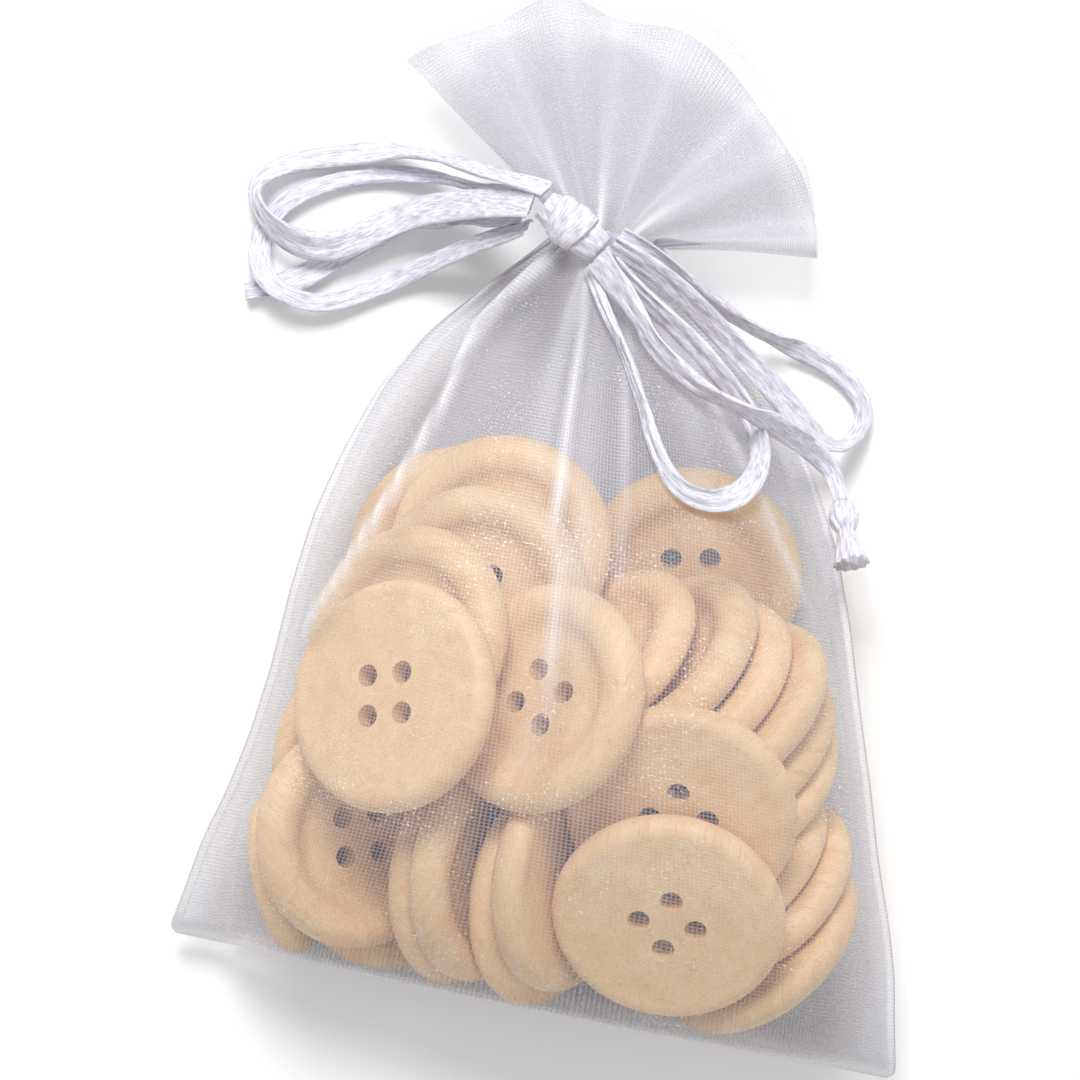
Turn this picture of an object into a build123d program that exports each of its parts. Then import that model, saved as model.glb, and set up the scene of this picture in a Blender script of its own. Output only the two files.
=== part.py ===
from build123d import *

import math
import os

import numpy as np

# A drawstring bag of sheer organza, filled with wooden four-hole buttons and tied in a bow.
# It lies on its back. X runs along the bottom fold, Y towards the mouth, Z up from the table.
# It is laid out from the middle of the fold, then moved so that the origin is on the table
# under the middle of the bag. All sizes are in millimetres.

# Large button, turned from wood: flat back, raised round rim and a shallow dish
largeDiameter = 30.0
largeThickness = 4.8
backRoundShare = 0.42
dishShare = 0.5
dishDepth = 1.9

# Small button of the same pattern
smallDiameter = 21.5
smallThickness = 4.0

# Four sewing holes
holeDiameter = 2.9
holePitch = 5.2

# Bag
clothWall = 0.3
bagLength = 104.0
bagHeight = 43.0
foldHalfLength = 49.2
foldHeight = 3.0
seamRidge = 1.6
neckX = -11.0
neckZ = 9.2
neckRadius = 6.2
neckPleats = 11
pleatDepth = 0.75
ruffleLength = 30.0
ruffleWaves = 4.5
ruffleWaveHeight = 2.6
ruffleGap = 2.4
pointsRound = 72
flatShare = 0.72

# Fits
buttonGap = 0.2
bagGap = 0.3
foreGap = 1.0

# Drawstring ribbon, the bow knot on the neck and the knot in the long tail
cordDiameter = 2.4
cordGap = 0.25
knotLength = 9.5
knotRadius = 3.2
knotBand = 4.4
knotCentre = (-16.0, 103.0, 20.2)
knotTurn = -28.5
endKnotLength = 4.4
endKnotRadius = 1.9
frayLength = 4.5
frayRadius = 2.3
turnRadius = 3.2
turnBack = 1.0

# Where each button lies: size, centre X, Y, Z, tilt of the seen face from level, the way
# it leans as an angle from +X, which face is seen, and the turn of its holes
buttonPlaces = {
    "button_01": ("large", -23.0, 36.5, 27.5, 26, 191, "back", 74),
    "button_02": ("large", -14.5, 49.5, 21.0, 14, 100, "front", 20),
    "button_03": ("large", -12.5, 57.0, 14.0, 18, 100, "front", 60),
    "button_04": ("large", -23.0, 57.0, 9.0, 21, 120, "front", 35),
    "button_05": ("large", -26.5, 40.0, 19.5, 30, 170, "front", 50),
    "button_06": ("large", -22.5, 21.0, 15.0, 32, 30, "front", 15),
    "button_07": ("large", -21.0, 14.0, 9.0, 28, 50, "front", 70),
    "button_08": ("large", -17.0, 15.0, 16.0, 45, 25, "front", 5),
    "button_09": ("large", -13.0, 15.5, 16.5, 58, 26, "back", 40),
    "button_10": ("large", -8.0, 14.0, 16.5, 60, 28, "front", 25),
    "button_11": ("large", -3.5, 13.0, 14.5, 60, 20, "back", 80),
    "button_12": ("large", -4.5, 36.0, 27.5, 30, 138, "front", 66),
    "button_13": ("large", 4.5, 42.0, 22.5, 44, 158, "front", 30),
    "button_14": ("large", 9.0, 44.5, 18.0, 48, 160, "front", 75),
    "button_15": ("large", 11.5, 53.0, 10.0, 20, 244, "front", 12),
    "button_16": ("large", 18.5, 42.0, 16.0, 56, 165, "front", 55),
    "button_17": ("large", 22.5, 39.5, 15.5, 62, 163, "back", 22),
    "button_18": ("large", 26.0, 35.5, 15.0, 66, 160, "front", 48),
    "button_19": ("large", 29.0, 31.0, 15.0, 68, 155, "back", 8),
    "button_20": ("large", 12.0, 11.5, 17.5, 50, 282, "back", 42),
    "button_21": ("large", 16.5, 20.0, 19.5, 48, 284, "back", 33),
    "button_22": ("large", 26.0, 22.0, 15.5, 72, 137, "back", 63),
    "button_23": ("large", 28.5, 16.5, 15.5, 74, 134, "front", 18),
    "button_24": ("large", 31.0, 10.5, 15.5, 76, 132, "back", 52),
    "button_25": ("small", -37.5, 24.5, 12.0, 87, 190, "back", 38),
    "button_26": ("small", -38.0, 10.5, 12.0, 82, 172, "front", 57),
}

# Shape of the bag from the bottom fold to the neck: station along the length, middle and
# half width across, height of the top, how full the flanks are
bagStations = [
    (0.00, -0.5, 49.2, 0.035, 0.00),
    (0.012, -0.6, 48.9, 0.42, 0.15),
    (0.035, -0.6, 48.3, 0.58, 0.35),
    (0.075, -0.8, 47.4, 0.73, 0.55),
    (0.13, -1.0, 46.2, 0.85, 0.70),
    (0.20, -1.2, 44.0, 0.94, 0.85),
    (0.28, -2.0, 41.6, 0.97, 0.90),
    (0.37, -3.0, 39.6, 1.00, 0.92),
    (0.47, -4.6, 37.6, 0.99, 0.90),
    (0.57, -5.8, 35.4, 0.93, 0.80),
    (0.66, -6.6, 32.6, 0.82, 0.65),
    (0.75, -7.8, 28.8, 0.71, 0.45),
    (0.83, -8.8, 23.6, 0.62, 0.25),
    (0.90, -9.8, 16.8, 0.51, 0.10),
    (0.95, -10.5, 11.2, 0.43, 0.0),
    (0.985, -11.0, 7.6, 0.375, 0.0),
]

# Top edge of the ruffle, from the right side seam to the left: way it points and its length
# as a share of ruffleLength
ruffleEdge = [
    (6, 0.78), (18, 0.80), (40, 0.84), (62, 0.92), (84, 1.0), (100, 1.0), (112, 1.06), (130, 1.04), (147, 1.05),
]
ruffleSteps = [0.05, 0.11, 0.19, 0.29, 0.41, 0.55, 0.70, 0.85, 1.0]

# Loops and tails of the bow, from the knot outwards, as they lie on the table and on the bag
ribbonRoutes = {
    "ribbon_left_upper": [
        (-20.3, 106.9, 22), (-24.5, 107.6, 19.2), (-29.5, 108.7, 13.2), (-35, 109.9, 6.8),
        (-41.5, 109.8, 3.2), (-48.5, 108, 1.6), (-54.5, 106, 1.5), (-58.5, 103.5, 2.2),
        (-59.5, 100, 4.2), (-56.5, 96.5, 5.4), (-52, 94.5, 4.4), (-47, 95, 4.2), (-42.5, 98.5, 4.2),
        (-37.5, 102, 4.8), (-32, 103.7, 9.2), (-27, 104.4, 16.8), (-22, 104.4, 22),
    ],
    "ribbon_left_lower": [
        (-20.7, 106.9, 18.5), (-24.5, 106.7, 14.6), (-29.5, 106.6, 8.8), (-34.8, 107.4, 3),
        (-41, 107, 1.5), (-47, 105.3, 1.5), (-53, 102, 1.5), (-56.5, 98.5, 1.5), (-57.5, 94, 1.6),
        (-56.5, 90.2, 3.6), (-53.2, 87.8, 4.5), (-47.5, 87, 2.6), (-41.5, 90.5, 1.5),
        (-36.5, 94.2, 2), (-31.5, 97.3, 6), (-27, 99.4, 12), (-22, 102, 17.6),
    ],
    "ribbon_left_tail": [
        (-22.6, 104, 14.6), (-27, 102.9, 9.6), (-32, 102.6, 4.6), (-37.5, 101.6, 1.5),
        (-42.5, 98.3, 1.4), (-47, 93.8, 1.4), (-50.5, 90.8, 1.4), (-54, 88.6, 1.4), (-58, 87, 1.4),
    ],
    "ribbon_right_lower": [
        (-13, 98, 22), (-9.4, 92.3, 24.8), (-6, 88, 27.3), (-3, 82.5, 30.1), (0, 76, 33.2),
        (4, 71.5, 35.5), (9.5, 71, 34.7), (13, 74, 30.9), (14, 79, 25.1), (12, 83.5, 21.9),
        (7, 87.5, 23.1), (2.5, 91, 23.4), (-4, 95.2, 23), (-11.1, 100.4, 19.4),
    ],
    "ribbon_right_outer": [
        (-9.8, 103.1, 19.4), (-4.5, 101.6, 18), (1.5, 98.6, 12.6), (8.5, 96, 8.5),
        (15.5, 94.8, 2.4), (22.5, 93, 1.5), (27.5, 89.5, 1.6), (28, 85.5, 1.8), (25.5, 82, 5.4),
        (20.5, 83.4, 10.4), (15, 87.6, 12.4), (9, 91.6, 14.8), (3, 95.4, 18.1), (-4, 99.4, 21.8),
        (-10.4, 101.8, 22.4),
    ],
    "ribbon_right_tail": [
        (-12, 99.4, 24.9), (-6.5, 94, 27), (-2, 88.8, 28.4), (4, 85, 29.4), (10.5, 83.8, 28.2),
        (16, 82.4, 23.6), (21.2, 80.8, 14.8), (24.8, 78.4, 12.8), (26, 75, 14.4),
    ],
}

os.makedirs("parts", exist_ok=True)


def save(solid, name):
    solid.label = name
    export_step(solid, f"parts/{name}.step")


def unit(v):
    return v / np.linalg.norm(v, axis=-1, keepdims=True)


def buttonSizes(kind):
    if kind == "large":
        return largeDiameter / 2, largeThickness
    return smallDiameter / 2, smallThickness


# The pile

def facing(tilt, toward):
    lean = math.radians(tilt)
    way = math.radians(toward)
    return np.array([math.sin(lean) * math.cos(way), math.sin(lean) * math.sin(way), math.cos(lean)])


def bagProfile(y):
    """Middle, half width, height and fullness of the bag at distances y from the fold."""
    table = np.array(bagStations)
    share = np.clip(np.asarray(y) / bagLength, 0, table[-1, 0])
    middle = np.interp(share, table[:, 0], table[:, 1])
    half = np.interp(share, table[:, 0], table[:, 2])
    height = np.interp(share, table[:, 0], table[:, 3]) * bagHeight
    full = np.interp(share, table[:, 0], table[:, 4])
    return middle, half, height, full


def outsideBag(p):
    """Below zero inside the bag, above zero outside it, in about millimetres."""
    def level(q):
        middle, half, height, full = bagProfile(q[..., 1])
        power = 2.0 + 1.2 * full
        across = np.abs(q[..., 0] - middle) / (half * (0.84 + 0.12 * full))
        side = sideHeight(height)
        up = np.maximum(q[..., 2] - side, 0) / np.maximum(height - side, 0.3)
        down = np.maximum(side - q[..., 2], 0) / side
        under = 2 * power
        over = (across ** power + up ** power) ** (1 / power)
        return np.where(up > 0, over, (across ** under + down ** under) ** (1 / under)) - 1
    base = level(p)
    step = 0.05
    slope = np.stack([(level(p + np.eye(3)[k] * step) - base) / step for k in range(3)], -1)
    size = np.maximum(np.linalg.norm(slope, axis=-1), 1e-3)
    return base / size, slope / size[..., None]


def sideHeight(height):
    return foldHeight * 0.5 + 0.26 * height


def settle():
    """Lays the buttons on one another: pushes apart those that meet and lets the rest sink."""
    names = list(buttonPlaces)
    rows = [buttonPlaces[n] for n in names]
    centre = np.array([r[1:4] for r in rows], float)
    normal = np.array([facing(r[4], r[5]) for r in rows])
    sizes = np.array([buttonSizes(r[0]) for r in rows])
    spread = sizes[:, 0] ** 2 / 3
    wished, wishedNormal = centre.copy(), normal.copy()
    turns = np.radians(np.arange(0, 360, 15))
    ring = np.concatenate([[(0, 0)], *(np.c_[np.cos(turns), np.sin(turns)] * s for s in (0.55, 1.0))])
    count = len(names)
    rounds = 1500
    for k in range(rounds):
        late = k / rounds
        grown = min(1.0, 0.25 + 1.5 * late)
        bead = sizes[:, 1] / 2 * grown
        reach = sizes[:, 0] - sizes[:, 1] / 2
        pull = 0.05 * max(0.0, 1 - late / 0.9) ** 2
        centre = centre + (wished - centre) * pull
        normal = unit(normal + (wishedNormal - normal) * 0.06 * (1 - late) ** 2)
        centre[:, 2] -= 0.003
        side = unit(np.cross(normal, np.array([0.31, 0.17, 0.93])))
        other = np.cross(normal, side)
        points = (
            centre[:, None]
            + side[:, None] * (ring[None, :, :1] * reach[:, None, None])
            + other[:, None] * (ring[None, :, 1:] * reach[:, None, None])
        )
        shift = np.zeros((count, 3))
        turn = np.zeros((count, 3))

        def push(which, arm, move):
            lever = np.sum(np.cross(arm, unit(move)) ** 2, -1, keepdims=True)
            weight = spread[which][:, None]
            np.add.at(shift, which, move * weight / (weight + lever))
            np.add.at(turn, which, np.cross(arm, move) / (weight + lever))

        # Each point of a button against the flat of every other one
        offset = points[:, :, None] - centre[None, None]
        lift = np.sum(offset * normal[None, None], -1)
        flat = offset - lift[..., None] * normal[None, None]
        radius = np.linalg.norm(flat, axis=-1)
        flat = flat * np.minimum(1, reach / np.maximum(radius, 1e-9))[..., None]
        nearest = centre[None, None] + flat
        apart = points[:, :, None] - nearest
        distance = np.linalg.norm(apart, axis=-1)
        depth = bead[:, None, None] + bead[None, None] + buttonGap - distance
        depth[np.arange(count), :, np.arange(count)] = -1
        deepest = depth.argmax(1)
        a, b = np.nonzero(np.take_along_axis(depth, deepest[:, None], 1)[:, 0] > 0)
        s = deepest[a, b]
        if len(a):
            way = apart[a, s, b] / np.maximum(distance[a, s, b], 1e-6)[:, None]
            move = way * depth[a, s, b][:, None] * 0.5
            push(a, points[a, s] - centre[a], move)
            push(b, nearest[a, s, b] - centre[b], -move)

        # The same points against the cloth
        out, way = outsideBag(points)
        out = out + bead[:, None] + bagGap + clothWall
        low = bead[:, None] + clothWall + bagGap - points[..., 2]
        fore = bead[:, None] + clothWall + bagGap + foreGap - points[..., 1]
        for deep, ways in ((out, -way), (low, np.array([0, 0, 1.0])), (fore, np.array([0, 1.0, 0]))):
            ways = np.broadcast_to(ways, points.shape)
            s = deep.argmax(1)
            a = np.nonzero(deep[np.arange(count), s] > 0)[0]
            if len(a):
                move = ways[a, s[a]] * deep[a, s[a]][:, None] * 0.5
                push(a, points[a, s[a]] - centre[a], move + 1e-12)
        centre = centre + shift
        normal = unit(normal + np.cross(turn, normal))
    worst = depth.max()
    past = max(out.max(), low.max(), fore.max())
    print(f"pile settled, deepest overlap left {max(worst, 0):.3f} mm, past the cloth {past:.3f} mm")
    return {n: (centre[i], normal[i]) for i, n in enumerate(names)}


def buttonBlank(kind):
    """Half section turned round Z: back on the XY plane, front upwards, then the holes."""
    radius, thickness = buttonSizes(kind)
    scale = thickness / largeThickness
    backRound = backRoundShare * thickness
    rim = radius - (thickness - backRound)
    dish = radius * dishShare
    floor = thickness - dishDepth * scale
    middle = ((rim + dish) / 2, (thickness + floor) / 2)
    outline = [
        Line((0, 0), (radius - backRound, 0)),
        TangentArc((radius - backRound, 0), (radius, backRound), tangent=(1, 0)),
        TangentArc((radius, backRound), (rim, thickness), tangent=(0, 1)),
        TangentArc((rim, thickness), middle, tangent=(-1, 0)),
        TangentArc((dish, floor), middle, tangent=(1, 0)),
        Line((dish, floor), (0, floor)),
        Line((0, floor), (0, 0)),
    ]
    section = Plane.XZ * make_face(Wire(outline))
    body = revolve(section, Axis.Z)
    half = holePitch / 2
    for x in (-half, half):
        for y in (-half, half):
            body -= Pos(x, y, 0) * Cylinder(
                holeDiameter / 2, 3 * thickness, align=(Align.CENTER, Align.CENTER, Align.CENTER)
            )
    return body


def placedButton(blank, name, centre, normal):
    kind, face, spin = buttonPlaces[name][0], buttonPlaces[name][6], buttonPlaces[name][7]
    thickness = buttonSizes(kind)[1]
    up = normal if face == "front" else -normal
    base = centre - up * thickness / 2
    return Plane(origin=tuple(base), z_dir=tuple(up)).location * Rot(0, 0, spin) * blank


# The bag

def bagSection(share):
    """One round of points of the middle of the cloth, right seam first, over the top."""
    t = np.linspace(0, 2 * np.pi, pointsRound, endpoint=False)
    middle, half, height, full = bagProfile(share * bagLength)
    side = sideHeight(height) if share > 0 else foldHeight
    across, rise = np.cos(t), np.sin(t)
    power = 2.0 + 1.2 * full
    inner = 0.84 + 0.12 * full
    top = np.maximum(1 - (np.abs(across) / inner) ** power, 0) ** (1 / power)
    upper = side + np.maximum((height - side) * top, 0.35)
    lowest = clothWall / 2
    bowl = np.maximum(1 - (np.abs(across) / inner) ** (2 * power), 0) ** (0.5 / power)
    bottom = side - np.maximum((side - lowest) * bowl, 0.35)
    if share == 0:
        bottom = np.full(pointsRound, side - 0.35)
        upper = np.full(pointsRound, side + 0.35)
    seam = 1 - np.abs(across) ** 40
    z = np.where(rise >= 0, side + (upper - side) * seam, side + (bottom - side) * seam)
    x = middle + half * across
    y = np.full(pointsRound, share * bagLength)
    return np.c_[x, y, z]


def neckSection():
    t = np.linspace(0, 2 * np.pi, pointsRound, endpoint=False)
    return np.c_[
        neckX + neckRadius * np.cos(t), np.full(pointsRound, bagLength), neckZ + neckRadius * 0.92 * np.sin(t)
    ]


def ruffleSection(out):
    t = np.linspace(0, 2 * np.pi, pointsRound, endpoint=False)
    across, rise = np.cos(t), np.sin(t)
    edge = np.array(ruffleEdge)
    spot = (1 - across) / 2 * (len(edge) - 1)
    way = np.radians(np.interp(spot, range(len(edge)), edge[:, 0]))
    length = np.interp(spot, range(len(edge)), edge[:, 1]) * ruffleLength * out
    spread = 1 - 0.6 * out
    wave = np.sin(2 * np.pi * ruffleWaves * (1 - across) / 2 + 0.6 * np.sin(3 * across) + 0.5)
    gap = neckRadius * 0.92 * (1 - out) ** 2 + ruffleGap * (1 - (1 - out) ** 2)
    x = neckX + neckRadius * across * (0.6 + 0.4 * spread) + length * np.cos(way)
    y = bagLength + length * np.sin(way)
    z = neckZ + gap * rise + ruffleWaveHeight * out * wave * np.sin(np.pi * (1 - across) / 2) ** 0.3
    return np.c_[x, y, z]


def pleats(share):
    """How far the gathers stand out at a station, round the section."""
    t = np.linspace(0, 2 * np.pi, pointsRound, endpoint=False)
    wave = np.cos(neckPleats * t + 0.9 * np.sin(2 * t + 0.4) + 0.5 * np.sin(3 * t))
    reach = 0.42 if share < 1 else 0.16
    near = max(0.0, 1 - abs(share - 1) / reach) ** 1.4
    return pleatDepth * near * wave * (1 + 0.25 * np.sin(5 * t + 1))


def clothGrid():
    """Middle of the cloth from the fold to the mouth, gathered at the neck."""
    shares = [row[0] for row in bagStations]
    rounds = [bagSection(s) for s in shares] + [neckSection()]
    shares.append(1.0)
    for step in ruffleSteps:
        rounds.append(ruffleSection(step))
        shares.append(1 + step * ruffleLength / bagLength)
    grid = np.array(rounds)
    out = outward(grid)
    for k, share in enumerate(shares):
        if share > 0.6:
            grid[k] += out[k] * pleats(share)[:, None]
    grid[..., 2] = np.maximum(grid[..., 2], clothWall / 2)
    return grid


def outward(grid):
    around = np.roll(grid, -1, 1) - np.roll(grid, 1, 1)
    along = np.gradient(grid, axis=0)
    return unit(np.cross(along, around) + 1e-9)


def ellipse(t, x, across, y, z, rise):
    return np.c_[x + across * np.cos(t), np.full(len(t), y), z + rise * np.sin(t)]


def facet(*points):
    return Face(Wire.make_polygon([tuple(map(float, p)) for p in points]))


def organzaBag():
    """One closed wall: up the inside from the fold, over the mouth and down the outside."""
    grid = clothGrid()
    out = outward(grid)
    t = np.linspace(0, 2 * np.pi, pointsRound, endpoint=False)
    shares = np.array([row[0] for row in bagStations])
    outer = grid + out * clothWall / 2
    inner = (grid - out * clothWall / 2)[1:]
    share, middle, half, height, full = bagStations[1]
    outer[0] = ellipse(t, bagStations[0][1], foldHalfLength, 0, foldHeight, 2 * clothWall)
    inner[0] = ellipse(t, middle, 0.78 * half, share * bagLength, sideHeight(height * bagHeight), 1.0)
    ridge = seamRidge * np.clip((0.95 - shares[1:]) / 0.3, 0, 1)
    outer[1:len(shares), 0, 0] += ridge
    outer[1:len(shares), pointsRound // 2, 0] -= ridge

    # The back rests on the table in one flat patch
    rows = [k for k, share in enumerate(shares) if 0.12 < share < 0.7]
    columns = [k for k in range(pointsRound) if np.sin(t[k]) < 0 and abs(np.cos(t[k])) < flatShare]
    outer[..., 2] = np.maximum(outer[..., 2], 0)
    outer[np.ix_(rows, columns, [2])] = 0
    inner[np.ix_([k - 1 for k in rows], columns, [2])] = clothWall

    faces = [facet(*inner[0][::-1]), facet(*outer[0])]
    layers = list(inner) + list(outer[::-1])
    flat = set()
    top = len(layers) - 1
    for k in rows[:-1]:
        flat.update((top - k - 1, c) for c in columns[:-1])
    for k, (low, high) in enumerate(zip(layers, layers[1:])):
        for c in range(pointsRound):
            if (k, c) in flat:
                continue
            d = (c + 1) % pointsRound
            faces += [facet(low[c], high[d], low[d]), facet(low[c], high[c], high[d])]
    left, right = columns[0], columns[-1]
    edge = [outer[r][left] for r in rows]
    edge += [outer[rows[-1]][c] for c in columns[1:]]
    edge += [outer[r][right] for r in rows[-2::-1]]
    edge += [outer[rows[0]][c] for c in columns[-2:0:-1]]
    faces.append(facet(*edge))
    return Solid(Shell(faces))


# The drawstring

def route(points):
    """Straight runs joined by arcs that touch both."""
    corners = [Vector(p) for p in points]
    runs = [b - a for a, b in zip(corners, corners[1:])]
    radii = []
    for before, after in zip(runs, runs[1:]):
        half = math.radians(before.get_angle(after)) / 2
        radii.append(0.45 * min(before.length, after.length) / math.tan(half))
    return FilletPolyline(*corners, radius=radii)


def ribbon(name):
    line = route(ribbonRoutes[name])
    section = Plane(origin=line @ 0, z_dir=line % 0) * Circle(cordDiameter / 2)
    solid = sweep(section, path=line)
    print(f"{name} is {line.length:.1f} mm long, {solid.volume / section.area:.1f} mm by its volume")
    return solid


def drawnTurn():
    """The turn of ribbon that runs in the casing, inside the gathered neck."""
    return Pos(neckX, bagLength - turnBack, neckZ) * Rot(90, 0, 0) * Torus(turnRadius, cordDiameter / 2)


def bowKnot():
    """Two shoulders and the band across them, turned round X."""
    half, band = knotLength / 2, knotBand / 2
    end, shoulder = 0.62 * knotRadius, 0.86 * knotRadius
    outline = [
        Line((-half, 0), (-half, end)),
        ThreePointArc((-half, end), (-(half + band) / 2, 0.95 * shoulder), (-band, shoulder)),
        ThreePointArc((-band, shoulder), (0, knotRadius), (band, shoulder)),
        ThreePointArc((band, shoulder), ((half + band) / 2, 0.95 * shoulder), (half, end)),
        Line((half, end), (half, 0)),
        Line((half, 0), (-half, 0)),
    ]
    body = revolve(make_face(Wire(outline)), Axis.X)
    return Pos(*knotCentre) * Rot(0, 0, knotTurn) * body


def endKnot():
    """A small round knot past the end of the long tail, and the frayed end that leaves it."""
    last, before = (Vector(p) for p in ribbonRoutes["ribbon_right_tail"][:-3:-1])
    way = (last - before).normalized()
    end = 0.6 * endKnotRadius
    start, far = cordGap, cordGap + endKnotLength
    outline = [
        Line((start, 0), (start, end)),
        ThreePointArc((start, end), ((start + far) / 2, endKnotRadius), (far, end)),
        Line((far, end), (far + frayLength, frayRadius)),
        Line((far + frayLength, frayRadius), (far + frayLength, 0)),
        Line((far + frayLength, 0), (start, 0)),
    ]
    body = revolve(make_face(Wire(outline)), Axis.X)
    return Plane(origin=last, x_dir=way, z_dir=way.cross(Vector(0, 0, 1)).cross(way)).location * body


def main():
    bag = organzaBag()
    middle = bag.bounding_box().center()
    home = Pos(-middle.X, -middle.Y, 0)
    print(f"moved home by {-middle.X:.3f}, {-middle.Y:.3f}")
    places = settle()
    blanks = {"large": buttonBlank("large"), "small": buttonBlank("small")}
    for name, (centre, normal) in places.items():
        save(home * placedButton(blanks[buttonPlaces[name][0]], name, centre, normal), name)
    save(home * bag, "organza_bag")
    for name in ribbonRoutes:
        save(home * ribbon(name), name)
    save(home * drawnTurn(), "ribbon_turn")
    save(home * bowKnot(), "ribbon_bow_knot")
    save(home * endKnot(), "ribbon_end_knot")


main()
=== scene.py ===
import math

import bpy
import numpy as np
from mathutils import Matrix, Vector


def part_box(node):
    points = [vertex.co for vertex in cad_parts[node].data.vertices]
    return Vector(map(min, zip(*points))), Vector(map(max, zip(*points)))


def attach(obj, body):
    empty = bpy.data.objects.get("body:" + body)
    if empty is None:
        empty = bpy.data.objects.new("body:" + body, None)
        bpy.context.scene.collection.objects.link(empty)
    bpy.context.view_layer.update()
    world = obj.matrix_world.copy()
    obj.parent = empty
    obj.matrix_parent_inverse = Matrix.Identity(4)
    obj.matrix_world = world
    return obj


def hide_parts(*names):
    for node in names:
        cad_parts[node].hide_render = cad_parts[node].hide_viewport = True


# A sheer organza drawstring bag full of wooden buttons, on its back on a white table.
# Places are millimetres in the part's own layout, and mm() takes them to metres round the origin.

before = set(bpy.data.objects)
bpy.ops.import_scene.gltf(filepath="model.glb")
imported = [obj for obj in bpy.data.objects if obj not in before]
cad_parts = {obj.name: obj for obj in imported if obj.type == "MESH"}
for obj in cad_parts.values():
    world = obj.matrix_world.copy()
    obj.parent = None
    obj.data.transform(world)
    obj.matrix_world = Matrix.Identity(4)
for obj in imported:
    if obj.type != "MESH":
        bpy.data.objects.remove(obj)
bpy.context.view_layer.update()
mmToM = 0.001
home = (0.601, -67.001, 0)  # from the layout to the bag's middle


def mm(points):
    return (np.asarray(points, float) + home) * mmToM


def unit(v):
    return v / np.maximum(np.linalg.norm(v, axis=-1, keepdims=True), 1e-12)


# The linear colour of an sRGB hex value
def srgb(code):
    shares = [int(code[k:k + 2], 16) / 255 for k in (0, 2, 4)]
    linear = [((s + 0.055) / 1.055) ** 2.4 if s > 0.04 else s / 12.92 for s in shares]
    return (*linear, 1.0)


def meshPiece(name, points, faces, material):
    mesh = bpy.data.meshes.new(name)
    mesh.from_pydata([tuple(p) for p in points], [], faces)
    mesh.update()
    mesh.materials.append(material)
    for face in mesh.polygons:
        face.use_smooth = True
    piece = bpy.data.objects.new(name, mesh)
    bpy.context.collection.objects.link(piece)
    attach(piece, "root")
    return piece


# Quads between rings of points, where a looped row of rings comes back to its first
def ringFaces(rings, around, looped=False):
    faces = []
    for ring in range(rings if looped else rings - 1):
        here, there = ring * around, (ring + 1) % rings * around
        for c in range(around):
            d = (c + 1) % around
            faces.append((here + c, here + d, there + d, there + c))
    return faces


# One face over each end of a row of rings
def endFaces(rings, around):
    return [tuple(range(around))[::-1], tuple((rings - 1) * around + c for c in range(around))]


# The UV map that the threads follow, in roughly millimetres, from each point's ring and spot on it
def markWeave(piece, around, place):
    layer = piece.data.uv_layers.new(name="weave")
    for loop in piece.data.loops:
        layer.data[loop.index].uv = place(*divmod(loop.vertex_index, around))


def applyModifiers(piece):
    bpy.ops.object.select_all(action="DESELECT")
    bpy.context.view_layer.objects.active = piece
    piece.select_set(True)
    for modifier in list(piece.modifiers):
        bpy.ops.object.modifier_apply(modifier=modifier.name)


def newMaterial(name):
    material = bpy.data.materials.new(name)
    material.use_nodes = True
    return material, material.node_tree


# Adds a node, or takes the surface that is there, with its settings and what is linked into it
def addNode(tree, kind, settings={}, links={}):
    surface = kind == "BsdfPrincipled"
    made = tree.nodes["Principled BSDF"] if surface else tree.nodes.new("ShaderNode" + kind)
    for key, value in settings.items():
        if key == "stops":
            for element, (place, colour) in zip(made.color_ramp.elements, value):
                element.position = place
                element.color = colour
        elif isinstance(key, str) and hasattr(made, key):
            setattr(made, key, value)
        else:
            made.inputs[key].default_value = value
    for key, source in links.items():
        tree.links.new(source, made.inputs[key])
    return made


# Buttons of turned beech, sanded and left bare: long pale grain, short darker pores and a dull shine
beech = {
    "light": "FCDBA6",
    "dark": "F2C88C",
    "grainScale": (30, 420, 420),  # waves to a metre: 2.4 mm across the grain, 33 mm along it
    "poreScale": (160, 2600, 2600),  # 0.4 mm across, 6 mm along
    "poreTint": (0.62, 0.50, 0.38, 1),  # linear, and multiplied over the grain
    "poreShow": 0.35,
    "roughness": (0.42, 0.62),  # least and most
    "poreDepth": 0.0001,
    "shade": (0.95, 0.05),  # middle, and how far the buttons differ
}


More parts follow.
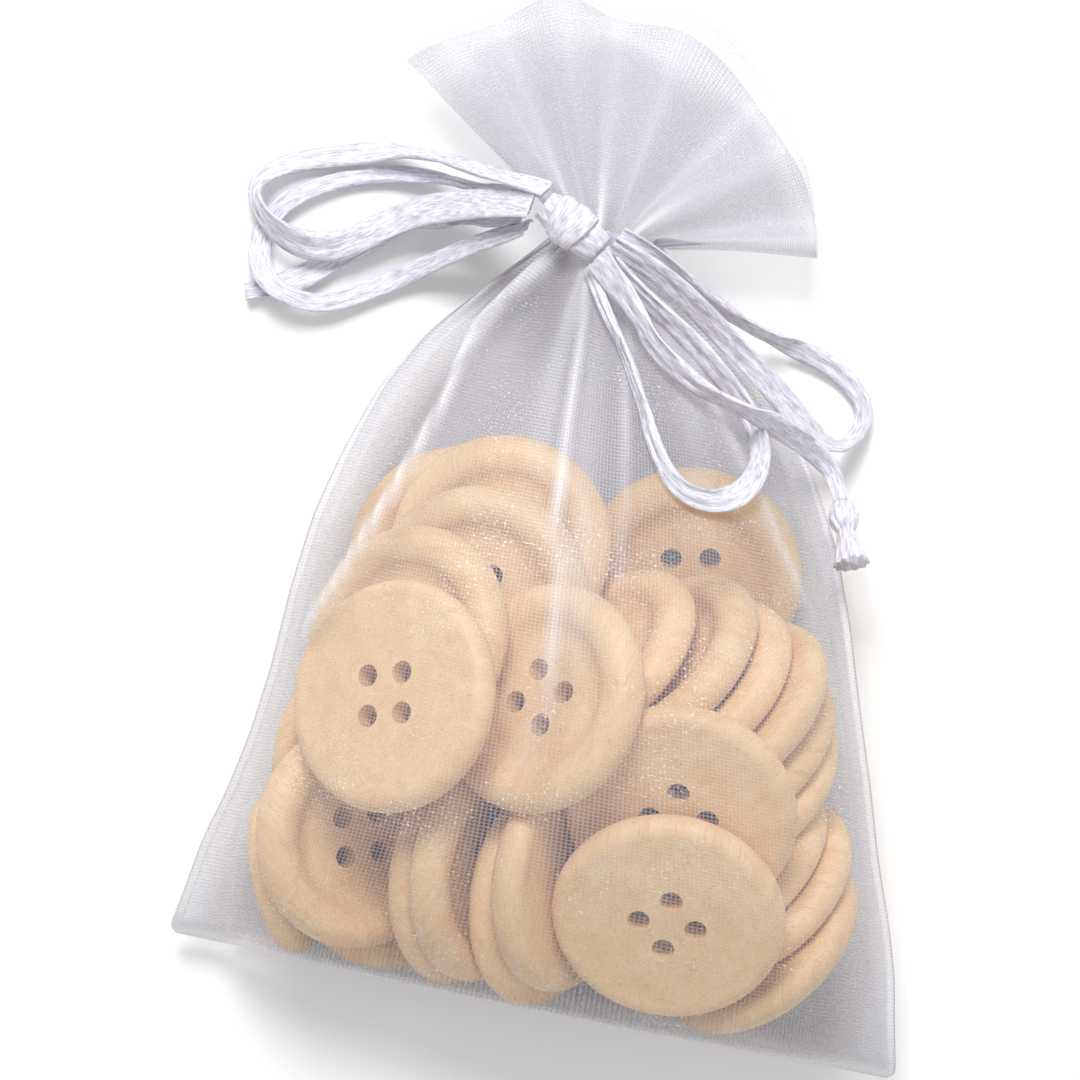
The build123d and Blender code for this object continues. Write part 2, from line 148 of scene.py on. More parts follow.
def woodMaterial(name, centre, turn, shade):
    material, tree = newMaterial(name)
    where = addNode(tree, "TexCoord").outputs["Object"]
    place = addNode(
        tree, "Mapping", {"vector_type": "TEXTURE", "Location": centre, "Rotation": turn}, {"Vector": where}
    ).outputs["Vector"]
    stretch = addNode(tree, "Mapping", {"Scale": beech["grainScale"]}, {"Vector": place})
    grain = addNode(
        tree, "TexNoise", {"Scale": 1.0, "Detail": 6.0, "Roughness": 0.6, "Distortion": 0.4},
        {"Vector": stretch.outputs["Vector"]},
    ).outputs["Fac"]
    fine = addNode(tree, "Mapping", {"Scale": beech["poreScale"]}, {"Vector": place})
    pores = addNode(
        tree, "TexNoise", {"Scale": 1.0, "Detail": 2.0, "Roughness": 0.5}, {"Vector": fine.outputs["Vector"]}
    ).outputs["Fac"]
    dark, light = ([c * shade for c in srgb(beech[k])[:3]] + [1] for k in ("dark", "light"))
    tone = addNode(tree, "ValToRGB", {"stops": [(0.32, dark), (0.62, light)]}, {"Fac": grain})
    white = (1, 1, 1, 1)
    specks = addNode(tree, "ValToRGB", {"stops": [(0.30, beech["poreTint"]), (0.42, white)]}, {"Fac": pores})
    mix = addNode(
        tree, "Mix", {"data_type": "RGBA", "blend_type": "MULTIPLY", "Factor": beech["poreShow"]},
        {6: tone.outputs["Color"], 7: specks.outputs["Color"]},
    )
    least, most = beech["roughness"]
    rough = addNode(tree, "MapRange", {"To Min": least, "To Max": most}, {"Value": grain})
    bump = addNode(tree, "Bump", {"Strength": 0.12, "Distance": beech["poreDepth"]}, {"Height": pores})
    addNode(tree, "BsdfPrincipled", {}, {
        "Base Color": mix.outputs[2], "Roughness": rough.outputs["Result"], "Normal": bump.outputs["Normal"],
    })
    return material


# The CAD buttons keep their shape, and each is given grain of its own
def dressButtons():
    names = sorted(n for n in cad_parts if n.startswith("button_"))
    middle, spread = beech["shade"]
    for k, name in enumerate(names):
        low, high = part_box(name)
        centre = [(a + b) / 2 for a, b in zip(low, high)]
        turn = (0.5 * math.sin(2.1 * k), 0.5 * math.cos(1.7 * k), 2.4 * k)
        material = woodMaterial(f"beech {k + 1:02d}", centre, turn, middle + spread * math.sin(4.3 * k))
        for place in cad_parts[name].material_slots:
            place.material = material
    print("wood on", len(names), "buttons")


# Sheer white nylon organza, plain woven: shiny crossed threads with open gaps between. White specks in
# patches are painted glints, in colour and cover; the cloth is whiter and thicker where it lies double at
# seams, and painted sheen along creases and pleat crests
organza = {
    "threadPitch": 0.46,  # about twice the real spacing, so that the weave shows
    "gapCover": 0.055,  # how much a gap and a thread hide of what is behind
    "threadCover": 0.25,
    # cover added by the crease mark: doubled cloth at seams, and painted sheen along creases
    "creaseAndSheenCover": 0.40,
    # painted glints: bright specks, only in some patches, that whiten the colour and add cover
    "sparkCover": 0.45,
    "sparkScale": 2.6,  # to a millimetre: sparkles about 0.4 mm wide
    "patchScale": 0.09,  # the patches that sparkle are about 11 mm wide
    "plain": "C8C5D2",
    # the white of the painted glints and the painted sheen, and of the doubled seams
    "lit": "FFFFFF",
    "roughness": 0.34,
    "sheen": 0.3,
}


def organzaMaterial():
    material, tree = newMaterial("organza")
    where = addNode(tree, "UVMap", {"uv_map": "weave"}).outputs["UV"]
    parts = addNode(tree, "SeparateXYZ", {}, {"Vector": where})
    waves = []
    for axis in ("X", "Y"):
        turns = addNode(
            tree, "Math", {"operation": "MULTIPLY", 1: 2 * math.pi / organza["threadPitch"]},
            {0: parts.outputs[axis]},
        )
        waves.append(addNode(tree, "Math", {"operation": "SINE"}, {0: turns.outputs[0]}).outputs[0])
    weave = addNode(tree, "Math", {"operation": "MAXIMUM"}, {0: waves[0], 1: waves[1]}).outputs[0]
    cover = addNode(
        tree, "MapRange", {"From Min": 0.1, "To Min": organza["gapCover"], "To Max": organza["threadCover"]},
        {"Value": weave},
    )
    # Mark from the bag: doubled cloth at seams, bottom fold and hem, and painted sheen along creases and
    # folds
    creaseAndSheen = addNode(tree, "Attribute", {"attribute_name": "creaseAndSheen"}).outputs["Fac"]
    denser = addNode(
        tree, "Math", {"operation": "MULTIPLY_ADD", "use_clamp": True, 1: organza["creaseAndSheenCover"]},
        {0: creaseAndSheen, 2: cover.outputs["Result"]},
    )
    # Painted glints: noise specks, kept only in some patches
    speckle = addNode(
        tree, "TexNoise", {"Scale": organza["sparkScale"], "Detail": 2.0, "Roughness": 0.7}, {"Vector": where}
    ).outputs["Fac"]
    black, white = (0, 0, 0, 1), (1, 1, 1, 1)
    sparks = addNode(tree, "ValToRGB", {"stops": [(0.60, black), (0.66, white)]}, {"Fac": speckle})
    drift = addNode(
        tree, "TexNoise", {"Scale": organza["patchScale"], "Detail": 3.0, "Roughness": 0.6}, {"Vector": where}
    ).outputs["Fac"]
    patches = addNode(tree, "ValToRGB", {"stops": [(0.42, black), (0.66, white)]}, {"Fac": drift})
    lit = addNode(
        tree, "Math", {"operation": "MULTIPLY"}, {0: sparks.outputs["Color"], 1: patches.outputs["Color"]}
    ).outputs[0]
    alpha = addNode(
        tree, "Math", {"operation": "MULTIPLY_ADD", "use_clamp": True, 1: organza["sparkCover"]},
        {0: lit, 2: denser.outputs[0]},
    )
    most = addNode(tree, "Math", {"operation": "MAXIMUM"}, {0: lit, 1: creaseAndSheen})
    # Base colour: plain cloth, painted white at the glints, along creases as painted sheen, and at doubled
    # seams
    shine = addNode(
        tree, "Mix", {"data_type": "RGBA", 6: srgb(organza["plain"]), 7: srgb(organza["lit"])},
        {"Factor": most.outputs[0]},
    )
    bump = addNode(tree, "Bump", {"Strength": 0.25, "Distance": 0.0001}, {"Height": weave})
    addNode(tree, "BsdfPrincipled", {"Roughness": organza["roughness"], "Sheen Weight": organza["sheen"]}, {
        "Base Color": shine.outputs[2], "Alpha": alpha.outputs[0], "Normal": bump.outputs["Normal"],
    })
    return material


# The bag, from its bottom fold to the neck
bagSizes = {
    "length": 104.0,
    "height": 43.0,
    "foldHalfLength": 49.2,
    "foldHeight": 3.0,
    "neckX": -11.0,
    "neckZ": 9.2,
    "neckRadius": 6.2,
    "neckFlatness": 0.92,  # the neck's height as a share of its width
    "neckPleats": 11,
    "pleatDepth": 0.75,
    "sideShare": 0.26,  # of the height there, which with half the fold's gives the side seams' height
    "leastHalf": 0.35,  # half the space between front and back where they lie together
    "clothWall": 0.3,  # of the solid, which sets how far the cloth keeps off the table
    "clothSkin": 0.12,
    "seamRidge": 1.6,
    "foldBulge": 0.9,  # how far the buttons push the bottom fold out
    "foldBulgeShare": 0.14,
    "pointsRound": 144,
    "rowsAlong": 46,
}

# The ruffle beyond the neck
ruffle = {
    "length": 30.0,
    "waves": 4.5,
    "waveHeight": 2.6,
    "gap": 2.4,  # half the space between its two layers
    "layerShift": 0.04,  # share by which one layer reaches further, and the other less far
    "edgeWaver": 0.012,
    "rows": 16,
}

# Share of the length, middle, half width, share of the height, and how full the bag is there
bagStations = [
    (0.00, -0.5, 49.2, 0.035, 0.00),
    (0.012, -0.6, 48.9, 0.42, 0.15),
    (0.035, -0.6, 48.3, 0.58, 0.35),
    (0.075, -0.8, 47.4, 0.73, 0.55),
    (0.13, -1.0, 46.2, 0.85, 0.70),
    (0.20, -1.2, 44.0, 0.94, 0.85),
    (0.28, -2.0, 41.6, 0.97, 0.90),
    (0.37, -3.0, 39.6, 1.00, 0.92),
    (0.47, -4.6, 37.6, 0.99, 0.90),
    (0.57, -5.8, 35.4, 0.93, 0.80),
    (0.66, -6.6, 32.6, 0.82, 0.65),
    (0.75, -7.8, 28.8, 0.71, 0.45),
    (0.83, -8.8, 23.6, 0.62, 0.25),
    (0.90, -9.8, 16.8, 0.51, 0.10),
    (0.95, -10.5, 11.2, 0.43, 0.0),
    (0.985, -11.0, 7.6, 0.375, 0.0),
]

# Way that each part of the ruffle's edge points, in degrees, and its share of the ruffle's length
ruffleEdge = [
    (6, 0.78), (18, 0.80), (40, 0.84), (62, 0.92), (84, 1.0), (100, 1.0), (112, 1.06), (130, 1.04),
    (147, 1.05),
]

# Creases that run down the front from the neck: X and Y of points along each, its height and its width. The
# height also sets how white each crease is painted as sheen, and the third, low and broad, is a painted band
# of sheen beside the second.
creases = [
    ([(-17.5, 99), (-25.5, 88), (-27.5, 77), (-31, 66), (-36, 52), (-39, 45)], 1.2, 0.6),
    ([(-12.5, 96), (-11.5, 73), (-9.5, 60), (-8, 47), (-7, 33)], 1.0, 0.6),
    ([(-10.5, 94), (-8.5, 73), (-6.5, 60), (-5.5, 50)], 0.3, 2.4),
    ([(-7, 96), (-5, 84), (-3, 70), (-1.5, 58)], 0.6, 0.5),
    ([(-3, 97), (6, 84), (14, 74), (22, 62)], 0.7, 0.6),
    ([(-20, 96), (-31, 84), (-36, 72), (-40, 58)], 0.6, 0.6),
]


# One row round the bag: an arch over the buttons, a bowl under them and flat seams at the sides
def bagSection(share, t):
    table = np.array(bagStations)
    middle, half, height, full = (np.interp(share, table[:, 0], table[:, k]) for k in range(1, 5))
    height = height * bagSizes["height"]
    side = bagSizes["foldHeight"]
    if share > 0:
        side = bagSizes["foldHeight"] * 0.5 + bagSizes["sideShare"] * height
    least = bagSizes["leastHalf"]
    across, rise = np.cos(t), np.sin(t)
    power = 2.0 + 1.2 * full
    inner = 0.84 + 0.12 * full
    top = np.maximum(1 - (np.abs(across) / inner) ** power, 0) ** (1 / power)
    upper = side + np.maximum((height - side) * top, least)
    bowl = np.maximum(1 - (np.abs(across) / inner) ** (2 * power), 0) ** (0.5 / power)
    bottom = side - np.maximum((side - bagSizes["clothWall"] / 2) * bowl, least)
    if share == 0:
        upper, bottom = side + least, side - least
    seam = 1 - np.abs(across) ** 40
    z = np.where(rise >= 0, side + (upper - side) * seam, side + (bottom - side) * seam)
    return np.c_[middle + half * across, np.full(len(t), share * bagSizes["length"]), z]


def neckSection(t):
    radius = bagSizes["neckRadius"]
    x = bagSizes["neckX"] + radius * np.cos(t)
    z = bagSizes["neckZ"] + radius * bagSizes["neckFlatness"] * np.sin(t)
    return np.c_[x, np.full(len(t), bagSizes["length"]), z]


# One row of the ruffle, out of the neck and fanned over the table
def ruffleSection(out, t):
    across, rise = np.cos(t), np.sin(t)
    radius = bagSizes["neckRadius"]
    edge = np.array(ruffleEdge)
    spot = (1 - across) / 2 * (len(edge) - 1)
    way = np.radians(np.interp(spot, range(len(edge)), edge[:, 0]))
    length = np.interp(spot, range(len(edge)), edge[:, 1]) * ruffle["length"] * out
    waver = ruffle["layerShift"] * np.sin(3.1 * across + 1) * rise + ruffle["edgeWaver"] * np.sin(11 * across)
    length = length * (1 + waver)
    spread = 1 - 0.6 * out
    wave = np.sin(2 * np.pi * ruffle["waves"] * (1 - across) / 2 + 0.6 * np.sin(3 * across) + 0.5)
    gap = radius * bagSizes["neckFlatness"] * (1 - out) ** 2 + ruffle["gap"] * (1 - (1 - out) ** 2)
    x = bagSizes["neckX"] + radius * across * (0.6 + 0.4 * spread) + length * np.cos(way)
    y = bagSizes["length"] + length * np.sin(way)
    sway = ruffle["waveHeight"] * out * wave * np.sin(np.pi * (1 - across) / 2) ** 0.3
    return np.c_[x, y, bagSizes["neckZ"] + gap * rise + sway]


# How far the neck's pleats push each point out, and how much painted sheen whitens their crests
def pleats(share, t):
    wave = np.cos(bagSizes["neckPleats"] * t + 0.9 * np.sin(2 * t + 0.4) + 0.5 * np.sin(3 * t))
    reach = 0.42 if share < 1 else 0.16
    near = max(0.0, 1 - abs(share - 1) / reach) ** 1.4
    push = bagSizes["pleatDepth"] * near * wave * (1 + 0.25 * np.sin(5 * t + 1))
    return push, near * np.clip(wave, 0, 1) ** 6


# How far the front creases lift each point, and how much painted sheen whitens them
def creaseHeight(points, t):
    lift = np.zeros(len(points))
    creaseSheen = np.zeros(len(points))
    for route, height, width in creases:
        corners = np.array(route, float)
        for a, b in zip(corners, corners[1:]):
            run = b - a
            along = np.clip(((points[:, :2] - a) @ run) / (run @ run), 0, 1)
            away = np.linalg.norm(points[:, :2] - (a + along[:, None] * run), axis=1)
            near = np.exp(-((away / width) ** 2)) * (np.sin(t) > 0.05)
            lift = np.maximum(lift, height * near)
            creaseSheen = np.maximum(creaseSheen, 0.75 * height * near)
    return lift, creaseSheen


# Every row of the bag and ruffle with its folds, and how dense and white the cloth looks at each point:
# doubled cloth at the seams, bottom fold and hem, and painted sheen along creases, pleat crests and the
# ruffle's folds
def gatheredGrid():
    around = bagSizes["pointsRound"]
    t = np.linspace(0, 2 * np.pi, around, endpoint=False)
    shares = list(np.unique(np.r_[0, 0.012, 0.035, np.linspace(0.06, 0.985, bagSizes["rowsAlong"])]))
    rows = [bagSection(s, t) for s in shares] + [neckSection(t)]
    shares.append(1.0)
    for out in np.linspace(0, 1, ruffle["rows"] + 1)[1:]:
        rows.append(ruffleSection(out, t))
        shares.append(1 + out * ruffle["length"] / bagSizes["length"])
    grid = np.array(rows)
    beside = np.roll(grid, -1, 1) - np.roll(grid, 1, 1)
    outward = unit(np.cross(np.gradient(grid, axis=0), beside))
    denseAndSheen = np.zeros(grid.shape[:2])
    seams = (0, around // 2)
    for k, share in enumerate(shares):
        lift = np.zeros(around)
        if share > 0.6:
            lift, denseAndSheen[k] = pleats(share, t)
        if 0.1 < share < 1:
            raised, creaseAndSheen = creaseHeight(grid[k], t)
            lift = lift + raised
            denseAndSheen[k] = np.maximum(denseAndSheen[k] * 0.7, creaseAndSheen)
        grid[k] += outward[k] * lift[:, None]
        if 0 < share < bagSizes["foldBulgeShare"]:
            grid[k, :, 1] -= bagSizes["foldBulge"] * math.sin(math.pi * share / bagSizes["foldBulgeShare"])
        if 0 < share < 1:
            ridge = bagSizes["seamRidge"] * min(1.0, max(0.0, (0.95 - share) / 0.3))
            grid[k, seams[0], 0] += ridge
            grid[k, seams[1], 0] -= ridge
            for seam in seams:
                for near in (-1, 0, 1):
                    denseAndSheen[k, (seam + near) % around] = 0.75
        if share > 1:
            # Painted sheen along the ruffle's folds, fainter towards its edge
            fold = np.clip(np.cos(bagSizes["neckPleats"] * 2 * t + 4 * np.sin(t)), 0, 1) ** 8
            out = (share - 1) * bagSizes["length"] / ruffle["length"]
            denseAndSheen[k] = np.maximum(denseAndSheen[k], 0.35 * fold * (1.2 - out))
    denseAndSheen[:2] = 0.8  # bottom fold
    denseAndSheen[-1] = 0.5  # hem of the mouth
    grid[..., 2] = np.maximum(grid[..., 2], bagSizes["clothWall"] / 2)
    return grid, denseAndSheen, shares


# The bag as one gathered sheet: from the bottom fold, through the neck, out to the ruffle
def organzaBag(material):
    around = bagSizes["pointsRound"]
    grid, denseAndSheen, shares = gatheredGrid()
    bag = meshPiece("organzaBag", mm(grid.reshape(-1, 3)), ringFaces(len(grid), around), material)
    # The cloth's mark: doubled at seams, painted sheen along creases and folds
    mark = bag.data.attributes.new("creaseAndSheen", "FLOAT", "POINT")
    mark.data.foreach_set("value", denseAndSheen.reshape(-1).astype(np.float32))
    flatRound = 4 * bagSizes["foldHalfLength"]
    layer = bag.data.uv_layers.new(name="weave")
    for face in bag.data.polygons:
        spots = [divmod(bag.data.loops[j].vertex_index, around) for j in face.loop_indices]
        last = any(c > 1 for k, c in spots)  # a face that closes the ring runs on past its first point
        for corner, (k, c) in zip(face.loop_indices, spots):
            turn = c / around + (1 if c == 0 and last else 0)
            layer.data[corner].uv = (turn * flatRound, shares[k] * bagSizes["length"])
    finer = bag.modifiers.new("finer", "SUBSURF")
    finer.levels = finer.render_levels = 1
    skin = bag.modifiers.new("skin", "SOLIDIFY")
    skin.thickness = bagSizes["clothSkin"] * mmToM
    skin.offset = 0
    applyModifiers(bag)
    for face in bag.data.polygons:
        face.use_smooth = True
    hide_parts("organza_bag")
    print("bag made,", len(bag.data.polygons), "faces")


# White organza ribbon, woven and pressed into a soft strip: glossy, with fine threads along it
ribbon = {
    "width": 4.4,
    "thickness": 0.32,
    "dark": "BEBCD0",
    "light": "F0F0F8",
    "threadScale": (4.0, 0.5, 1.0),  # to a millimetre: threads 0.25 mm wide that drift over 2 mm
    "roughness": 0.32,
    "sheen": 0.4,
    "glow": 0.15,  # how much light goes through the strip
    "glowReach": (0.002, 0.002, 0.002),
    "table": 1.6,  # below this height a strip lies almost flat
}

# The same points as the part's source gives for its loops and tails
ribbonRoutes = {
    "ribbon_left_upper": [
        (-20.3, 106.9, 22), (-24.5, 107.6, 19.2), (-29.5, 108.7, 13.2), (-35, 109.9, 6.8),
        (-41.5, 109.8, 3.2), (-48.5, 108, 1.6), (-54.5, 106, 1.5), (-58.5, 103.5, 2.2),
        (-59.5, 100, 4.2), (-56.5, 96.5, 5.4), (-52, 94.5, 4.4), (-47, 95, 4.2), (-42.5, 98.5, 4.2),
        (-37.5, 102, 4.8), (-32, 103.7, 9.2), (-27, 104.4, 16.8), (-22, 104.4, 22),
    ],
    "ribbon_left_lower": [
        (-20.7, 106.9, 18.5), (-24.5, 106.7, 14.6), (-29.5, 106.6, 8.8), (-34.8, 107.4, 3),
        (-41, 107, 1.5), (-47, 105.3, 1.5), (-53, 102, 1.5), (-56.5, 98.5, 1.5), (-57.5, 94, 1.6),
        (-56.5, 90.2, 3.6), (-53.2, 87.8, 4.5), (-47.5, 87, 2.6), (-41.5, 90.5, 1.5),
        (-36.5, 94.2, 2), (-31.5, 97.3, 6), (-27, 99.4, 12), (-22, 102, 17.6),
    ],
    "ribbon_left_tail": [
        (-22.6, 104, 14.6), (-27, 102.9, 9.6), (-32, 102.6, 4.6), (-37.5, 101.6, 1.5),
        (-42.5, 98.3, 1.4), (-47, 93.8, 1.4), (-50.5, 90.8, 1.4), (-54, 88.6, 1.4), (-58, 87, 1.4),
    ],
    "ribbon_right_lower": [
        (-13, 98, 22), (-9.4, 92.3, 24.8), (-6, 88, 27.3), (-3, 82.5, 30.1), (0, 76, 33.2),
        (4, 71.5, 35.5), (9.5, 71, 34.7), (13, 74, 30.9), (14, 79, 25.1), (12, 83.5, 21.9),
        (7, 87.5, 23.1), (2.5, 91, 23.4), (-4, 95.2, 23), (-11.1, 100.4, 19.4),
    ],
    "ribbon_right_outer": [
        (-9.8, 103.1, 19.4), (-4.5, 101.6, 18), (1.5, 98.6, 12.6), (8.5, 96, 8.5),
        (15.5, 94.8, 2.4), (22.5, 93, 1.5), (27.5, 89.5, 1.6), (28, 85.5, 1.8), (25.5, 82, 5.4),
        (20.5, 83.4, 10.4), (15, 87.6, 12.4), (9, 91.6, 14.8), (3, 95.4, 18.1), (-4, 99.4, 21.8),
        (-10.4, 101.8, 22.4),
    ],
    "ribbon_right_tail": [
        (-12, 99.4, 24.9), (-6.5, 94, 27), (-2, 88.8, 28.4), (4, 85, 29.4), (10.5, 83.8, 28.2),
        (16, 82.4, 23.6), (21.2, 80.8, 14.8), (24.8, 78.4, 12.8), (26, 75, 14.4),
    ],
}

# Real length of each, whether it comes back to the knot, the way its flat side leans at the start and
# turns by the end, and how wide it lies at the start and the end, as a share of the ribbon's width
ribbonFacts = {
    "ribbon_left_upper": (100.5, "object", 20, 190, 0.58, 0.98),
    "ribbon_left_lower": (99.5, "object", 60, 200, 0.42, 0.72),
    "ribbon_left_tail": (45.4, "bare", 30, 90, 0.85, 0.70),
    "ribbon_right_lower": (87.7, "object", 60, 235, 0.42, 0.85),
    "ribbon_right_outer": (99.3, "object", 10, 220, 0.60, 0.75),
    "ribbon_right_tail": (54.4, "knot", 20, 160, 0.95, 0.55),
}


def ribbonMaterial():
    material, tree = newMaterial("ribbon")
    where = addNode(tree, "UVMap", {"uv_map": "weave"})
    stretch = addNode(tree, "Mapping", {"Scale": ribbon["threadScale"]}, {"Vector": where.outputs["UV"]})
    threads = addNode(
        tree, "TexNoise", {"Scale": 1.0, "Detail": 5.0, "Roughness": 0.65},
        {"Vector": stretch.outputs["Vector"]},
    ).outputs["Fac"]
    stops = [(0.38, srgb(ribbon["dark"])), (0.58, srgb(ribbon["light"]))]
    tone = addNode(tree, "ValToRGB", {"stops": stops}, {"Fac": threads})
    bump = addNode(tree, "Bump", {"Strength": 0.5, "Distance": 0.0003}, {"Height": threads})
    addNode(
        tree, "BsdfPrincipled",
        {
            "Roughness": ribbon["roughness"], "Sheen Weight": ribbon["sheen"],
            "Subsurface Weight": ribbon["glow"], "Subsurface Radius": ribbon["glowReach"],
        },
        {"Base Color": tone.outputs["Color"], "Normal": bump.outputs["Normal"]},
    )
    return material


# The smooth line of a route, as Blender's own spline gives it
def followRoute(name):
    curve = bpy.data.curves.new(name + "Line", "CURVE")
    curve.dimensions = "3D"
    spline = curve.splines.new("NURBS")
    points = mm(ribbonRoutes[name])
    spline.points.add(len(points) - 1)
    for point, place in zip(spline.points, points):
        point.co = (*place, 1)
    spline.order_u = 3
    spline.use_endpoint_u = True
    spline.resolution_u = 12
    holder = bpy.data.objects.new(name + "Line", curve)
    bpy.context.collection.objects.link(holder)
    mesh = bpy.data.meshes.new_from_object(holder)
    line = np.array([v.co[:] for v in mesh.vertices])
    bpy.data.objects.remove(holder)
    bpy.data.meshes.remove(mesh)
    return line


# Points round a flat strip with a lengthwise crease
def stripSection(width, thickness, wave):
    steps = np.linspace(-1, 1, 9)
    fold = 0.5 * wave * np.cos(steps * 6) + 0.3 * np.cos(steps * 11 + 2 * wave)
    top = np.c_[steps * width / 2, thickness * (0.5 + fold)]
    low = np.c_[steps[::-1] * width / 2, thickness * (fold[::-1] - 0.5)]
    return np.concatenate([top, low])


# One loop or tail, which turns and narrows along its line and lies flat where it is on the table
def ribbonPiece(name, material):
    length, farEnd, start, turn, first, last = ribbonFacts[name]
    line = followRoute(name)
    tangent = unit(np.gradient(line, axis=0))
    level = unit(np.cross(np.broadcast_to([0, 0, 1.0], tangent.shape), tangent))
    lift = np.cross(tangent, level)
    run = np.r_[0, np.cumsum(np.linalg.norm(np.diff(line, axis=0), axis=1))]
    share = run / run[-1]
    phase = start / 20
    points = []
    for k, place in enumerate(line):
        near = min(1.0, max(0.0, (place[2] / mmToM - ribbon["table"]) / 2.5))
        angle = math.radians(start + turn * share[k] + 25 * math.sin(9 * share[k] + phase))
        angle = math.asin(math.sin(angle) * (0.30 + 0.60 * near))
        pinch = first + (last - first) * share[k]
        pinch *= 1 + 0.22 * math.sin(16 * share[k] + phase) * math.sin(7 * share[k] + 1)
        pinch = min(pinch, 1.0)
        thickness = ribbon["thickness"] * (2.2 - 1.2 * pinch)
        section = stripSection(ribbon["width"] * pinch, thickness, math.sin(26 * share[k] + phase))
        side = level[k] * math.cos(angle) + lift[k] * math.sin(angle)
        up = lift[k] * math.cos(angle) - level[k] * math.sin(angle)
        points.append(place + (section[:, :1] * side + section[:, 1:] * up) * mmToM)
    points = np.array(points)
    count, around = points.shape[:2]
    points[..., 2] = np.maximum(points[..., 2], 0.0001)
    faces = ringFaces(count, around) + endFaces(count, around)
    piece = meshPiece(name + "Strip", points.reshape(-1, 3), faces, material)
    markWeave(piece, around, lambda k, c: (abs(c - around / 2) * 0.5, run[k] / mmToM))
    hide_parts(name)
    return piece, line, length, farEnd


# The bow knot, the knot in the long tail and the turn in the casing
knot = {
    "centre": (-16.0, 103.0, 20.2),
    "turn": -28.5,
    "length": 9.5,
    "radius": 3.2,
    "folds": 9,
    "foldDepth": 0.06,
}
tailKnot = {
    "gap": 0.25,  # from the end of the tail
    "length": 4.4,
    "radius": 1.9,
    "frayLength": 4.5,
    "frayRadius": 2.3,
    "waist": 1.15,
    "folds": 11,
    "foldDepth": 0.10,
}
casingTurn = {"radius": 3.2, "section": 1.2, "back": 1.0, "around": 64, "across": 12}


# A knot turned round its axis, with folds of ribbon along it
def lathed(name, profile, frameAt, material, folds, depth, standsFor):
    origin, axis, side, up = frameAt
    steps = 48
    points = []
    for reach, radius in profile:
        for c in range(steps):
            a = 2 * math.pi * c / steps
            ripple = depth * math.cos(folds * a + 0.9 * reach) + 0.4 * depth * math.cos(3 * a - 0.5 * reach)
            r = radius * (1 + ripple)
            points.append(origin + axis * reach + side * r * math.cos(a) + up * r * math.sin(a))
    count = len(profile)
    faces = ringFaces(count, steps) + endFaces(count, steps)
    piece = meshPiece(name, mm(points), faces, material)
    markWeave(piece, steps, lambda k, c: (abs(c - steps / 2) * 0.25, k * 0.6))
    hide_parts(standsFor)
    return piece


# One flat turn of ribbon drawn tight round a knot
def band(name, frameAt, radius, width, lean, material):
    origin, axis, side, up = frameAt
    around, across = 56, 10
    points = []
    for c in range(around):
        a = 2 * math.pi * c / around
        out = side * math.cos(a) + up * math.sin(a)
        shift = axis * lean * math.sin(a + 0.7)
        for k in range(across):
            b = 2 * math.pi * k / across
            reach = radius + 0.35 * math.sin(b) + 0.12 * math.cos(3 * b + 4 * a)
            points.append(origin + shift + out * reach + axis * width / 2 * math.cos(b))
    piece = meshPiece(name, mm(points), ringFaces(around, across, looped=True), material)
    markWeave(piece, across, lambda c, k: (abs(k - across / 2) * 0.9, abs(c - around / 2) * 0.36))
    return piece


def bowKnot(material):
    turn = math.radians(knot["turn"])
    origin = np.array(knot["centre"])
    axis = np.array([math.cos(turn), math.sin(turn), 0])
    side = np.array([-math.sin(turn), math.cos(turn), 0])
    up = np.array([0, 0, 1.0])
    half, radius = knot["length"] / 2, knot["radius"]
    swell = [0.60 + 0.24 * math.sin(math.pi * s / 20) for s in range(21)]
    profile = [(-half + half * s / 10, radius * share) for s, share in enumerate(swell)]
    at = (origin, axis, side, up)
    core = lathed("bowKnot", profile, at, material, knot["folds"], knot["foldDepth"], "ribbon_bow_knot")
    over = band("bowKnotBand", at, 0.88 * radius, 3.4, 0.5, material)
    beside = (origin - axis * 1.4, axis, side, up)
    under = band("bowKnotBandUnder", beside, 0.82 * radius, 2.8, -0.7, material)
    return [core, over, under]


def endKnot(material):
    last, before = (np.array(p, float) for p in ribbonRoutes["ribbon_right_tail"][:-3:-1])
    axis = unit(last - before)
    side = unit(np.cross([0, 0, 1.0], axis))
    at = (last, axis, side, np.cross(axis, side))
    gap, length, radius, waist = (tailKnot[k] for k in ("gap", "length", "radius", "waist"))
    profile = [(gap + length * s / 10, radius * (0.6 + 0.4 * math.sin(math.pi * s / 10))) for s in range(11)]
    for s in range(1, 9):
        spread = waist + (tailKnot["frayRadius"] - waist) * (s / 8) ** 1.2
        profile.append((gap + length + tailKnot["frayLength"] * s / 8, spread))
    folds, depth = tailKnot["folds"], tailKnot["foldDepth"]
    return lathed("tailKnot", profile, at, material, folds, depth, "ribbon_end_knot")


# The turn of the drawstring that runs in its casing inside the neck
def drawnTurn(material):
    around, across = casingTurn["around"], casingTurn["across"]
    centre = np.array([bagSizes["neckX"], bagSizes["length"] - casingTurn["back"], bagSizes["neckZ"]])
    along = np.array([0, 1.0, 0])
    points = []
    for c in range(around):
        a = 2 * math.pi * c / around
        out = np.array([math.cos(a), 0, math.sin(a)])
        for k in range(across):
            b = 2 * math.pi * k / across
            r = casingTurn["section"] * (1 + 0.12 * math.cos(4 * b + 3 * a))
            ring = out * (casingTurn["radius"] + 0.9 * r * math.cos(b))
            points.append(centre + ring + along * 0.9 * r * math.sin(b))
    piece = meshPiece("drawstringTurn", mm(points), ringFaces(around, across, looped=True), material)
    markWeave(piece, across, lambda c, k: (abs(k - across / 2) * 0.5, abs(c - around / 2) * 0.3))
    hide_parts("ribbon_turn")
    return piece


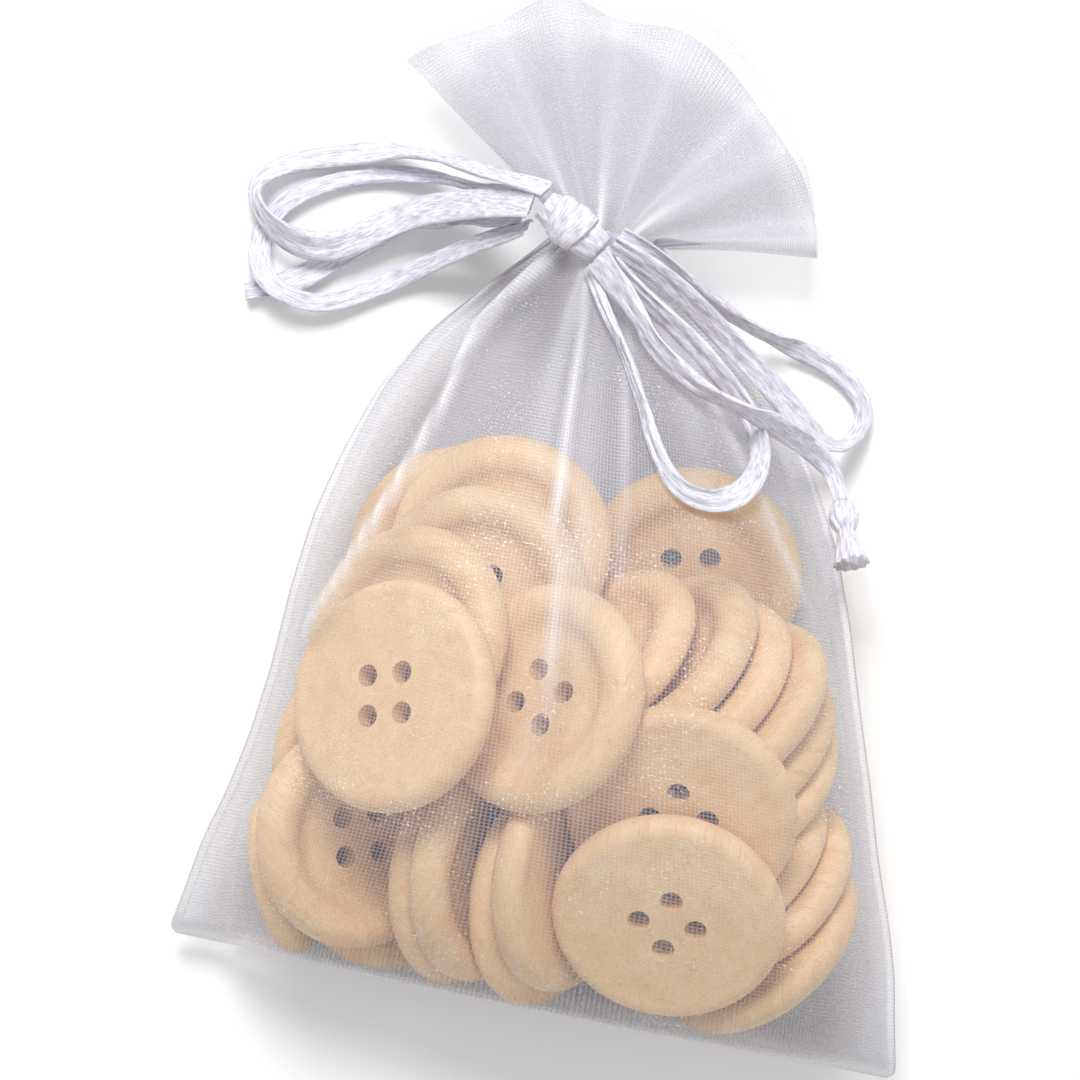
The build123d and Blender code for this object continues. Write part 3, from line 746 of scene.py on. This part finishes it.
def ribbons(material):
    onPiece = {
        "ribbon_left_upper": bowKnot(material) + [drawnTurn(material)],
        "ribbon_right_tail": [endKnot(material)],
    }
    for name in ribbonRoutes:
        piece, line, length, farEnd = ribbonPiece(name, material)
    print("ribbons made")


# White card under soft light, seen from straight above
studio = {
    "table": "FAFAFA",
    "tableRoughness": 0.8,
    "tableSize": 4,
    "world": 0.53,
    "lamps": {  # place, size and watts
        "overhead": ((-0.15, 0.45, 0.62), 0.30, 5.0),
        "fill": ((0.5, -0.3, 0.7), 0.8, 1.2),
    },
    "lampsAim": (-0.01, 0, 0.02),
    "cameraPlace": (-0.0114, -0.005, 0.5),
    "cameraTurn": 11.54,
    "lens": 122.2,
}


def setStudio():
    card, tree = newMaterial("white card")
    finish = {"Base Color": srgb(studio["table"]), "Roughness": studio["tableRoughness"]}
    addNode(tree, "BsdfPrincipled", finish)
    bpy.ops.mesh.primitive_plane_add(size=studio["tableSize"])
    table = bpy.context.object
    table.name = "tableTop"
    table.data.materials.append(card)
    world = bpy.data.worlds.new("studio")
    bpy.context.scene.world = world
    world.use_nodes = True
    sky = world.node_tree.nodes["Background"]
    sky.inputs["Color"].default_value = (1, 1, 1, 1)
    sky.inputs["Strength"].default_value = studio["world"]
    for name, (place, size, power) in studio["lamps"].items():
        data = bpy.data.lights.new(name, "AREA")
        data.size = size
        data.energy = power
        lamp = bpy.data.objects.new(name, data)
        lamp.location = place
        way = np.array(studio["lampsAim"]) - np.array(place)
        tilt = math.acos(-way[2] / np.linalg.norm(way))
        lamp.rotation_euler = (tilt, 0, math.atan2(way[1], way[0]) - math.pi / 2)
        bpy.context.collection.objects.link(lamp)
    scene = bpy.context.scene
    scene.view_settings.view_transform = "Standard"
    data = bpy.data.cameras.new("camera")
    data.sensor_width = 36
    data.lens = studio["lens"]
    camera = bpy.data.objects.new("camera", data)
    camera.location = studio["cameraPlace"]
    camera.rotation_euler = (0, 0, math.radians(studio["cameraTurn"]))
    bpy.context.collection.objects.link(camera)
    scene.camera = camera
    print("studio set")


dressButtons()
organzaBag(organzaMaterial())
ribbons(ribbonMaterial())
setStudio()
